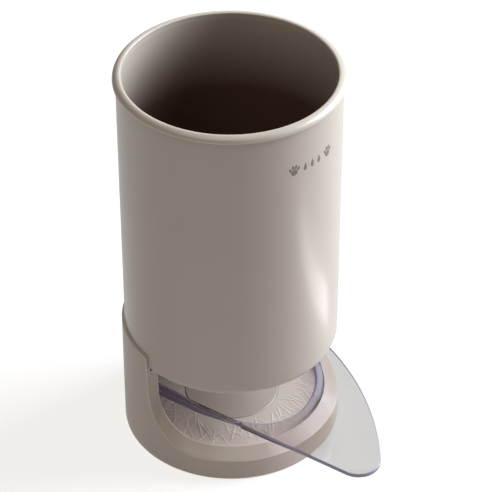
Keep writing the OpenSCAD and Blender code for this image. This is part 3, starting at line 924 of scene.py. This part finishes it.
# Each entry is some rows of the section and the share of the ring's mark that they take.
rows_and_share = [
    (bend(at_top(opening, lip_h), at_top(opening), at_top(lip), 8), 1),
    (at_top(hub - MARK_END * hub_n)[None], 1),
    (at_top(hub - MARK_GONE * hub_n)[None], 0),
    (between(at_top(hub - MARK_GONE * hub_n), at_top(outer_in), 6), 0),
    (bend(at_top(outer_in), at_top(outer), at_top(outer, ROUND)), 0),
    (bend(lift(outer, plate_low + ROUND), lift(outer, plate_low),
          lift(outer - small * outer_n, plate_low)), 0),
    (bend(lift(hub + small * hub_n, plate_low), lift(hub, plate_low),
          lift(hub, plate_low - softly(hub))), 0),
    (bend(lift(hub, hub_under + softly(hub)), lift(hub, hub_under),
          lift(hub_in, low(hub_in))), 1),
    (between(lift(hub_in, low(hub_in)), lift(open_out, low(open_out)), 2), 1),
    (bend(lift(open_out, low(open_out)), lift(opening, open_under),
          lift(opening, open_under + ROUND)), 1),
]
spout = np.concatenate([rows for rows, _ in rows_and_share]).transpose(1, 0, 2)
row_mark = np.concatenate([np.full(len(rows), share) for rows, share in rows_and_share])
mark = ring_mark[:, None] * row_mark
piece("clear_spout", spout, None, "spout", ["spout"], clear_pmma, mark)

# %% [markdown]
# ## The bristle sleeve
# A stiff carrier holds a rolled mat of silicone against the cup's wall, and the mat's bristles
# brush the paw. One bristle is a tapered finger with a round tip that droops a little. The
# same finger is copied to every place by adding whole arrays, and it has few faces because
# there are hundreds of it.

# %% Sleeve carrier
MAT_T, RIM_H, SEAM = 1.3, 2, 0.05
mat_r = sleeve_r - MAT_T
mat_in = mat_r - MAT_T
lathe("sleeve_carrier", [
    (mat_in, sleeve_lo[2], 0.3),
    (sleeve_r, sleeve_lo[2], 0.3),
    (sleeve_r, sleeve_hi[2], 0.6),
    (mat_in, sleeve_hi[2], 0.6),
    (mat_in, sleeve_hi[2] - RIM_H, 0),
    (mat_r, sleeve_hi[2] - RIM_H, 0),
    (mat_r, sleeve_lo[2] + RIM_H, 0),
    (mat_in, sleeve_lo[2] + RIM_H, 0),
], "sleeve", ["sleeve_shell"], inner_abs)

# %% Bristles
ROWS, PER_ROW = 11, 44
LONG, ROOT_R, TIP_END_R = 14.0, 1.25, 0.5
DROOP, SWING, ROOTED, EDGE_ROW = 0.9, 0.5, 0.3, 4.5


def finger(sides=8):
    """One bristle along -Y from its root: the radius falls evenly and closes in a round tip,
    and the middle line droops with the square of the distance."""
    far = np.array([0.0, 0.35, 0.7, 0.93, 0.985, 1.0])
    thick = (ROOT_R + (TIP_END_R - ROOT_R) * far) * np.array([1, 1, 1, 1, 0.6, 0.0])
    a = np.linspace(0, 2 * np.pi, sides, endpoint=False)
    x = thick[:, None] * np.cos(a)
    z = thick[:, None] * np.sin(a) - DROOP * far[:, None] ** 2
    return np.stack([x, np.broadcast_to(far[:, None] * LONG, x.shape), z], -1)


shape = finger()
row, spot = np.meshgrid(np.arange(ROWS), np.arange(PER_ROW), indexing="ij")
spin = (2 * np.pi * (spot + 0.5 * (row % 2)) / PER_ROW).ravel()
level = np.linspace(sleeve_lo[2] + EDGE_ROW, sleeve_hi[2] - EDGE_ROW, ROWS)[row].ravel()
swing = np.random.default_rng(5).uniform(-SWING, SWING, (len(spin), 2))
sideways, upwards = swing.T[:, :, None, None] * (shape[..., 1] / LONG) ** 2
depth_in = mat_in + ROOTED - shape[None, ..., 1]
side = shape[..., 0] + sideways
c, s = np.cos(spin)[:, None, None], np.sin(spin)[:, None, None]
bristles = np.stack([
    depth_in * s + side * c,
    -depth_in * c + side * s,
    level[:, None, None] + shape[..., 2] + upwards,
], -1)
one = quads(*shape.shape[:2], close_rows=False)
stride = shape.shape[0] * shape.shape[1]
bristle_faces = (one[None] + stride * np.arange(len(spin))[:, None, None]).reshape(-1, 4)
mat_lo, mat_hi = sleeve_lo[2] + RIM_H + SEAM, sleeve_hi[2] - RIM_H - SEAM
mat_profile = rounded([
    (mat_in, mat_lo, 0.1),
    (mat_r - 0.02, mat_lo, 0.1),
    (mat_r - 0.02, mat_hi, 0.1),
    (mat_in, mat_hi, 0.1),
])
points = np.concatenate([bristles.reshape(-1, 3), turned(mat_profile).reshape(-1, 3)])
faces = np.concatenate([bristle_faces, quads(192, len(mat_profile)) + stride * len(spin)])
piece("bristle_mat_fingers", points, faces, "sleeve", ["bristle_mat"], silicone)

# %% [markdown]
# ## The drain and the plug
# A stainless fitting is clamped through the cup's floor with a gasket and a nut. A rubber plug
# closes it, and a mushroom knob lifts the plug out. All of them are turned. The fitting's
# flange is dished towards its mouth, so that the last water runs in.

# %% Drain and plug
seat_lo, seat_hi = box("drain_seat")
plug_lo, plug_hi = box("drain_plug")
knob_lo, knob_hi = box("plug_knob")
strainer_lo, _ = box("hair_strainer")
MOUTH_R, OUTLET_R = 9.0, 7.5
lathe("drain_fitting", [
    (OUTLET_R, seat_lo[2], 0.2),
    (11, seat_lo[2], 0.5),
    (11, seat_hi[2] - 1.6, 0),
    (seat_hi[0], seat_hi[2] - 1.6, 0.2),
    (seat_hi[0], seat_hi[2], 0.7),
    (13.2, seat_hi[2], 0.3),
    (MOUTH_R, seat_hi[2] - 0.15, 0.4),
    (MOUTH_R, strainer_lo[2], 0),
    (OUTLET_R, strainer_lo[2], 0),
], "cup", ["drain_seat"], brushed, sides=128)

lathe("rubber_plug", [
    (0, plug_hi[2] - 0.5, 0),
    (5, plug_hi[2] - 0.5, 1),
    (9.5, plug_hi[2], 1.5),
    (plug_hi[0], plug_hi[2], 0.7),
    (plug_hi[0], seat_hi[2] + 0.02, 0.4),
    (8.4, seat_hi[2] + 0.02, 0.1),
    (8.4, plug_lo[2], 0.8),
    (0, plug_lo[2], 0),
], "plug", ["drain_plug"], rubber, sides=128, closed=False)

stem_r = 2.5
lathe("plug_knob_grip", [
    (0, knob_hi[2], 0),
    (3.6, knob_hi[2], 1.6),
    (knob_hi[0], knob_hi[2] - 2.6, 1.4),
    (knob_hi[0] - 0.6, knob_lo[2] + 9.6, 0.8),
    (stem_r, knob_lo[2] + 8.9, 0.8),
    (stem_r, knob_lo[2] + 5.2, 0.4),
    (stem_r, knob_lo[2], 0.2),
    (0, knob_lo[2], 0),
], "plug", ["plug_knob"], inner_abs, sides=96, closed=False)

# %% [markdown]
# ## Parts that keep their CAD shape
# The platform, the bottom cover, the nut, the strainer, the seals, the pads and the screws
# are right as they are. They only need their real finish, so each node's own material slots
# get one of the materials above.

# %% Finish the CAD nodes
finishes = [
    (tray_abs, ["cup_platform"]),
    (base_abs, ["base_plate"]),
    (rubber, ["platform_pad", "foot_pad", "drain_gasket"]),
    (silicone, ["plug_oring"]),
    (brushed, ["drain_nut", "hair_strainer", "platform_screws", "tray_screw", "base_screws"]),
]
for material, names in finishes:
    for name in names:
        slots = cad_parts[name].data.materials
        slots.clear()
        slots.append(material)
    print(material.name, "on", *names)

# %% [markdown]
# ## The printed row
# A small grey print sits under the rim at the front of the cup. It shows three drops between
# two paws. Each sign is a flat outline wrapped round the cup as a skin of ink a few hundredths
# of a millimetre thick, closed on all sides. Both paws come from one list of pads.

# %% Printed signs
PRINT_Z = 161.0
PRINT_LIFT = 0.05
PAW_U, DROPS_U = (-9.6, 9.6), (-4.1, -0.2, 3.7)
DROP = (1.25, 1.7)
PADS = [
    # across, up, half width, half height, tilt in degrees
    (0, -1.0, 1.55, 1.25, 0),
    (-1.95, 0.55, 0.55, 0.85, 24),
    (-0.7, 1.55, 0.58, 0.9, 8),
    (0.7, 1.55, 0.58, 0.9, -8),
    (1.95, 0.55, 0.55, 0.85, -24),
]


def blob(u, v, wide, high, tilt=0.0, point=0.0):
    """Outline of a sign round (u, v): an ellipse, or a drop when point is 1.

    The half width is multiplied by sin(half the angle) to the power of 1.5 point, which draws
    the upper end to a tip. Tilt turns the sign, in degrees.
    """
    a = np.linspace(0, 2 * np.pi, 40, endpoint=False)
    x = wide * np.sin(a) * np.abs(np.sin(a / 2)) ** (1.5 * point)
    y = 1.15 * high * np.cos(a)
    turn = math.radians(tilt)
    return np.stack([
        u + x * math.cos(turn) - y * math.sin(turn),
        v + x * math.sin(turn) + y * math.cos(turn),
    ], 1)


def print_skin(outline):
    """Closed ink skin of one outline: rings of it shrink to its centre on the outer side, and
    once more on the cup's side, and the plane is wrapped on the cylinder, so the angle is
    u / radius."""
    centre = outline.mean(0)
    scale = np.array([0.0, 0.5, 0.9, 1.0, 1.0, 0.5, 0.0])
    lift_r = cup_r + np.array([1, 1, 1, 0.6, -1, -1, -1]) * PRINT_LIFT
    flat = centre + scale[:, None, None] * (outline - centre)
    a = flat[..., 0] / cup_r
    r = lift_r[:, None] + 0 * a
    return np.stack([r * np.sin(a), -r * np.cos(a), PRINT_Z + flat[..., 1]], -1)


signs = [blob(paw + u, *rest) for paw in PAW_U for u, *rest in PADS]
signs += [blob(u, -0.1, *DROP, point=1) for u in DROPS_U]
skins = np.stack([print_skin(sign) for sign in signs])
count, rings, sides = skins.shape[:3]
one = quads(rings, sides, close_rows=False)
print_faces = one[None] + rings * sides * np.arange(count)[:, None, None]
piece("printed_signs", skins, print_faces.reshape(-1, 4), "cup", [], ink)

# %% [markdown]
# ## Floor, light and camera
# The cup stands on a plain white sweep. One large cool soft box stands low on the right and a
# little in front, so the right of the cup glows and the left lies in its own shade. A warm box
# high on the left lifts that shade a little. The sweep glows too, because in a studio it is
# lit from all round: it looks almost white, and it gives the cup less light than it shows.
# Two boxes behind the cup and a narrow card in front only show as reflections. The sheen lies
# on the spout's plate, the strip on its edges, and the card draws the upright streak of gloss
# on the cup. The camera looks down at 38 degrees with a long lens.

# %% Floor
SWEEP_SHINES, SWEEP_LOOKS = 0.50, 0.78
SWEEP_HALF = 3.0
sweep_mat, tree, where = new_material("white paper sweep")
fibre = add(tree, "TexNoise", {"Vector": where, "Scale": per_mm(6), "Detail": 4.0})
tones = {"Factor": fibre, "A": linear("8C8B8A"), "B": linear("908F8E")}
paper = add(tree, "Mix", tones, data_type="RGBA")
seen = add(tree, "LightPath").outputs["Is Camera Ray"]
glow = add(tree, "MapRange", {"Value": seen, "To Min": SWEEP_SHINES, "To Max": SWEEP_LOOKS})
shader = add(tree, "BsdfPrincipled", {
    "Base Color": paper,
    "Roughness": 0.9,
    "Emission Color": (1.0, 0.985, 0.97, 1.0),
    "Emission Strength": glow,
})
add(tree, "OutputMaterial", {"Surface": shader})
mesh = bpy.data.meshes.new("paper_sweep")
corners = [(-1, -1), (1, -1), (1, 1), (-1, 1)]
mesh.from_pydata([(SWEEP_HALF * x, SWEEP_HALF * y, 0) for x, y in corners], [], [(0, 1, 2, 3)])
mesh.materials.append(sweep_mat)
ground = bpy.data.objects.new("paper_sweep", mesh)
bpy.context.scene.collection.objects.link(ground)
print("sweep", 2 * SWEEP_HALF, "m wide")

# %% Lights
LIT_SPOT = Vector((0, 0, 0.1))
BOXES = [
    # name, azimuth, elevation, distance, width, height, watts, colour, not seen by
    ("window_box", 64, 29, 1.15, 0.80, 0.75, 32.0, (0.82, 0.92, 1.0), ()),
    ("ceiling_box", -80, 68, 1.3, 0.7, 0.7, 4.5, (1.0, 0.93, 0.85), ()),
    ("spout_sheen", 134.5, 38, 1.2, 0.9, 0.7, 2.3, (1.0, 1.0, 0.98), ("diffuse",)),
    ("lip_strip", 138, 10, 1.1, 0.6, 0.22, 0.8, (1.0, 1.0, 1.0), ("diffuse", "camera")),
]
CARD_AT, CARD_TURN = (0.096, -0.127, 0.003), math.radians(-8.2)


def from_side(azimuth, elevation, distance):
    """Unit direction times distance: azimuth from the front towards +X, elevation above the
    floor."""
    a, e = math.radians(azimuth), math.radians(elevation)
    way = Vector((math.sin(a) * math.cos(e), -math.cos(a) * math.cos(e), math.sin(e)))
    return distance * way


def looking(way):
    """Turn that points an object's -Z along a direction, with its Y upwards."""
    return way.to_track_quat("-Z", "Y").to_euler()


def lamp(name, width, height, power, colour, hidden=()):
    """Rectangular light that still lies at the origin. Hidden names the rays that miss it."""
    data = bpy.data.lights.new(name, "AREA")
    data.shape = "RECTANGLE"
    data.size, data.size_y = width, height
    data.energy = power
    data.color = colour
    made = bpy.data.objects.new(name, data)
    for ray in hidden:
        setattr(made, "visible_" + ray, False)
    bpy.context.scene.collection.objects.link(made)
    return made


for name, azimuth, elevation, distance, *rest in BOXES:
    made = lamp(name, *rest)
    offset = from_side(azimuth, elevation, distance)
    made.location = LIT_SPOT + offset
    made.rotation_euler = looking(-offset)
    print(name, [round(v, 2) for v in made.location], made.data.energy, "W")
card = lamp("gloss_card", 0.03, 0.135, 0.045, (1.0, 1.0, 1.0), ("diffuse", "camera"))
card.location = CARD_AT
card.rotation_euler = (math.pi, 0, CARD_TURN)

world = bpy.data.worlds.new("dim room")
world.use_nodes = True
background = world.node_tree.nodes["Background"].inputs
background["Color"].default_value = (1.0, 0.97, 0.94, 1.0)
background["Strength"].default_value = 0.07
bpy.context.scene.world = world
bpy.context.scene.view_settings.view_transform = "Standard"
bpy.context.scene.view_settings.look = "None"

# %% Camera
AIM = Vector((0.00465, -0.00465, 0.0926))
VIEW_AZ, VIEW_EL, VIEW_FAR = -45.48, 37.96, 0.9937
LENS_MM, SENSOR_MM = 169.2, 36.0
lens = bpy.data.cameras.new("camera")
lens.sensor_width = SENSOR_MM
lens.lens = LENS_MM
lens.clip_start, lens.clip_end = 0.05, 20.0
eye = bpy.data.objects.new("camera", lens)
offset = from_side(VIEW_AZ, VIEW_EL, VIEW_FAR)
eye.location = AIM + offset
eye.rotation_euler = looking(-offset)
bpy.context.scene.collection.objects.link(eye)
bpy.context.scene.camera = eye
print("camera at", [round(v, 3) for v in eye.location])
